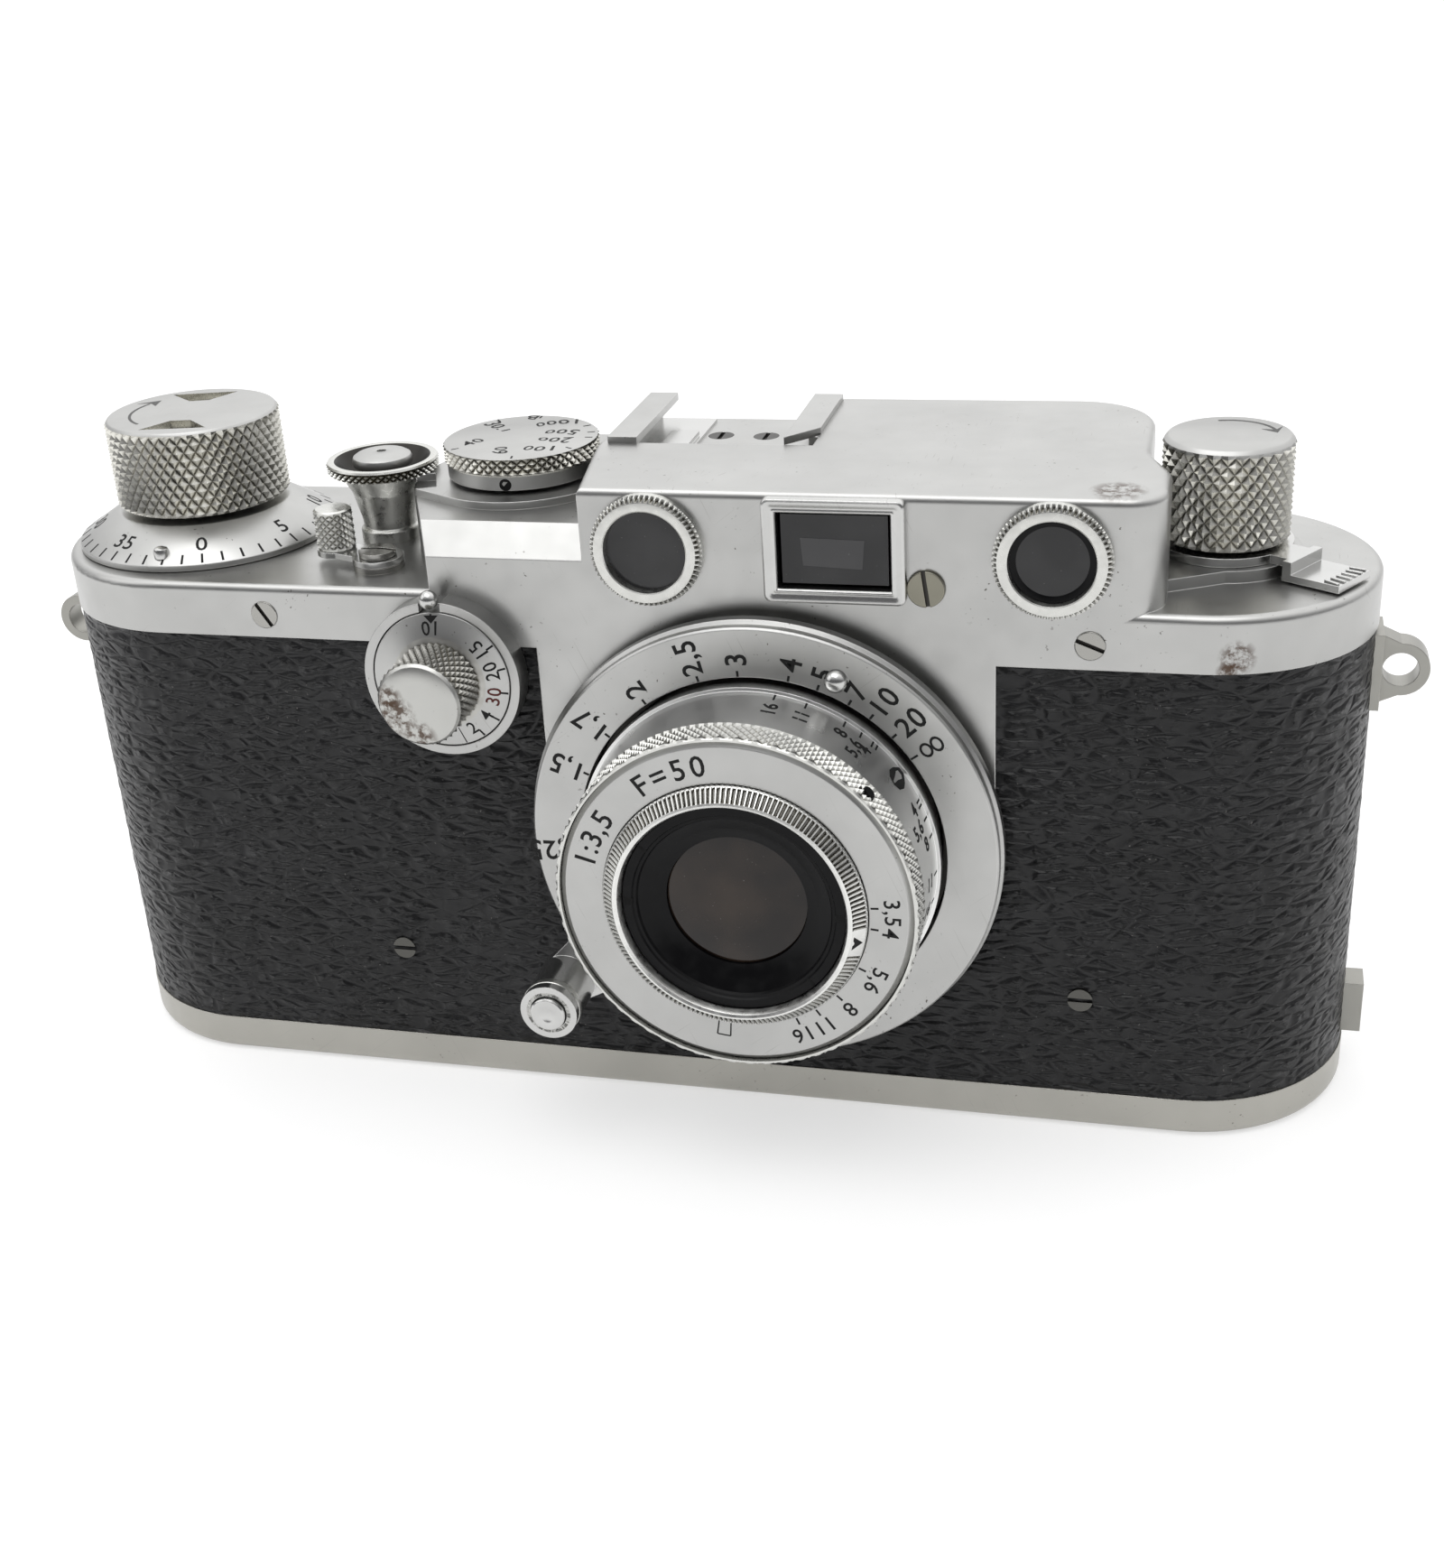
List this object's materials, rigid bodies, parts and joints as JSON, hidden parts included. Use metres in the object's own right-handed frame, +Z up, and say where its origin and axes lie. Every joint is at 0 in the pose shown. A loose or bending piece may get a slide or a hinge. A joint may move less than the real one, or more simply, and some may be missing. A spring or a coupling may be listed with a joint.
{
  "type": "rangefinder camera",
  "caption": "Compact film rangefinder camera with a collapsible lens, top dials and knobs, accessory shoe, strap lugs and a removable base plate.",
  "frame": {"origin": "middle of the underside of the base plate", "axes": "+X to the right when the lens is faced, the lens looks along -Y, +Z up"},
  "size_m": [0.146, 0.0504, 0.0693],
  "materials": {
    "satin_chrome": "satin chrome plating on brass",
    "bright_chrome": "bright chrome plating on brass",
    "base_nickel": "worn satin plating on brass",
    "vulcanite": "black vulcanite with a creased leather grain",
    "body_alloy": "die-cast alloy",
    "black_lacquer": "black lacquer",
    "optical_glass": "clear glass",
    "gear_brass": "machined brass",
    "shaft_steel": "ground steel",
    "screw_steel": "plated steel",
    "shutter_cloth": "rubberised shutter cloth"
  },
  "bodies": {
    "chassis": {"body_shell": "body_alloy", "leather_cover": "vulcanite", "top_cover": "satin_chrome", "inner_frame": "body_alloy", "pressure_plate": "black_lacquer", "shutter_curtain": "shutter_cloth", "lens_mount_ring": "satin_chrome", "mount_ring_screws": "screw_steel", "window_ring_left": "bright_chrome", "window_ring_right": "bright_chrome", "window_glasses": "optical_glass", "viewfinder_frame": "bright_chrome", "viewfinder_glass": "optical_glass", "viewfinder_eyepiece": "bright_chrome", "rangefinder_eyepiece": "bright_chrome", "eyepiece_glasses": "optical_glass", "accessory_shoe": "satin_chrome", "shoe_screws": "screw_steel", "shoe_spring": "shaft_steel", "strap_lug_left": "bright_chrome", "strap_lug_right": "bright_chrome", "end_stud": "bright_chrome", "cover_screws": "screw_steel", "leather_screws": "screw_steel", "adjuster_screw": "gear_brass", "speed_plate": "satin_chrome", "release_collar": "bright_chrome", "slow_dial_ring": "satin_chrome", "rewind_lever_screw": "screw_steel", "lens_flange": "satin_chrome", "flange_stud": "bright_chrome"},
    "winding": {"wind_knob": "satin_chrome", "wind_shaft": "gear_brass", "takeup_spool": "black_lacquer"},
    "counter": {"frame_counter": "satin_chrome"},
    "sprocket": {"sprocket_shaft": "gear_brass"},
    "drum": {"shutter_drum": "gear_brass"},
    "speed_selector": {"speed_dial": "satin_chrome"},
    "release": {"release_button": "bright_chrome"},
    "reversing_lever": {"rewind_lever": "bright_chrome"},
    "slow_selector": {"slow_speed_dial": "satin_chrome"},
    "slow_lock": {"slow_lock_button": "bright_chrome"},
    "rewind_axle": {"rewind_fork": "shaft_steel"},
    "rewinder": {"rewind_knob": "satin_chrome"},
    "diopter": {"diopter_lever": "bright_chrome"},
    "cam": {"cam_sleeve": "gear_brass"},
    "focus": {"focus_ring": "satin_chrome", "focus_lever": "bright_chrome"},
    "infinity_lock": {"infinity_lock_button": "bright_chrome"},
    "lens_barrel": {"lens_tube": "bright_chrome", "name_ring": "satin_chrome", "front_bezel": "black_lacquer", "front_element": "optical_glass", "rear_cell": "black_lacquer", "iris_diaphragm": "shaft_steel"},
    "iris_control": {"aperture_ring": "bright_chrome"},
    "base": {"base_plate": "base_nickel", "tripod_bush": "base_nickel"},
    "base_lock": {"lock_key": "base_nickel"},
    "base_handle": {"lock_handle": "bright_chrome"}
  },
  "joints": [
    {"name": "film_wind", "type": "hinge", "parent": "chassis", "child": "winding", "pos_m": [-0.0533, 0, 0.06], "axis": [0, 0, 1], "continuous": true},
    {"name": "counter_turn", "type": "hinge", "parent": "chassis", "child": "counter", "pos_m": [-0.0533, 0, 0.058], "axis": [0, 0, 1], "continuous": true},
    {"name": "sprocket_turn", "type": "hinge", "parent": "chassis", "child": "sprocket", "pos_m": [-0.0323, 0, 0.03], "axis": [0, 0, 1], "continuous": true},
    {"name": "shutter_cocking", "type": "hinge", "parent": "chassis", "child": "drum", "pos_m": [-0.0168, 0, 0.03], "axis": [0, 0, 1], "continuous": true},
    {"name": "speed_setting", "type": "hinge", "parent": "drum", "child": "speed_selector", "pos_m": [-0.0168, 0, 0.065], "axis": [0, 0, 1], "range_deg": [-90, 225]},
    {"name": "shutter_release", "type": "slide", "parent": "chassis", "child": "release", "axis": [0, 0, -1], "range_m": [0, 0.0012], "stiffness_N_per_m": 400, "springref_m": -0.0003},
    {"name": "rewind_lever_turn", "type": "hinge", "parent": "chassis", "child": "reversing_lever", "pos_m": [-0.0298, -0.0097, 0.057], "axis": [0, 0, 1], "range_deg": [0, 50]},
    {"name": "slow_speed_setting", "type": "hinge", "parent": "chassis", "child": "slow_selector", "pos_m": [-0.02065, -0.02, 0.0479], "axis": [0, -1, 0], "range_deg": [-20, 180]},
    {"name": "slow_lock_press", "type": "slide", "parent": "chassis", "child": "slow_lock", "axis": [0, 1, 0], "range_m": [0, 0.0008], "stiffness_N_per_m": 300, "springref_m": -0.0002},
    {"name": "rewind_turn", "type": "hinge", "parent": "chassis", "child": "rewind_axle", "pos_m": [0.0532, 0, 0.06], "axis": [0, 0, 1], "continuous": true},
    {"name": "rewind_knob_lift", "type": "slide", "parent": "rewind_axle", "child": "rewinder", "axis": [0, 0, 1], "range_m": [0, 0.004]},
    {"name": "diopter_turn", "type": "hinge", "parent": "chassis", "child": "diopter", "pos_m": [0.0532, 0, 0.058], "axis": [0, 0, 1], "range_deg": [0, 60]},
    {"name": "focus_travel", "type": "slide", "parent": "chassis", "child": "cam", "axis": [0, -1, 0], "range_m": [0, 0.0027]},
    {"name": "focus_turn", "type": "hinge", "parent": "cam", "child": "focus", "pos_m": [0.01095, -0.02, 0.03175], "axis": [0, -1, 0], "range_deg": [0, 189]},
    {"name": "infinity_release", "type": "slide", "parent": "focus", "child": "infinity_lock", "axis": [0, 1, 0], "range_m": [0, 0.001], "stiffness_N_per_m": 300, "springref_m": -0.0002},
    {"name": "lens_collapse", "type": "slide", "parent": "focus", "child": "lens_barrel", "axis": [0, -1, 0], "range_m": [0, 0.016]},
    {"name": "aperture_turn", "type": "hinge", "parent": "lens_barrel", "child": "iris_control", "pos_m": [0.01095, -0.03, 0.03175], "axis": [0, -1, 0], "range_deg": [-58, 15]},
    {"name": "base_removal", "type": "slide", "parent": "chassis", "child": "base", "axis": [0, 0, -1], "range_m": [0, 0.06]},
    {"name": "base_lock_turn", "type": "hinge", "parent": "base", "child": "base_lock", "pos_m": [0.0532, 0, 0], "axis": [0, 0, 1], "range_deg": [0, 180]},
    {"name": "handle_fold", "type": "hinge", "parent": "base_lock", "child": "base_handle", "pos_m": [0.0532, 0, 0.00058], "axis": [1, 0, 0], "range_deg": [0, 90]}
  ],
  "couplings": [
    {"joint": "counter_turn", "follows": "film_wind", "ratio": 0.025},
    {"joint": "sprocket_turn", "follows": "film_wind", "ratio": -1},
    {"joint": "shutter_cocking", "follows": "film_wind", "ratio": 1},
    {"joint": "focus_turn", "follows": "focus_travel", "rad_per_m": 1220}
  ]
}
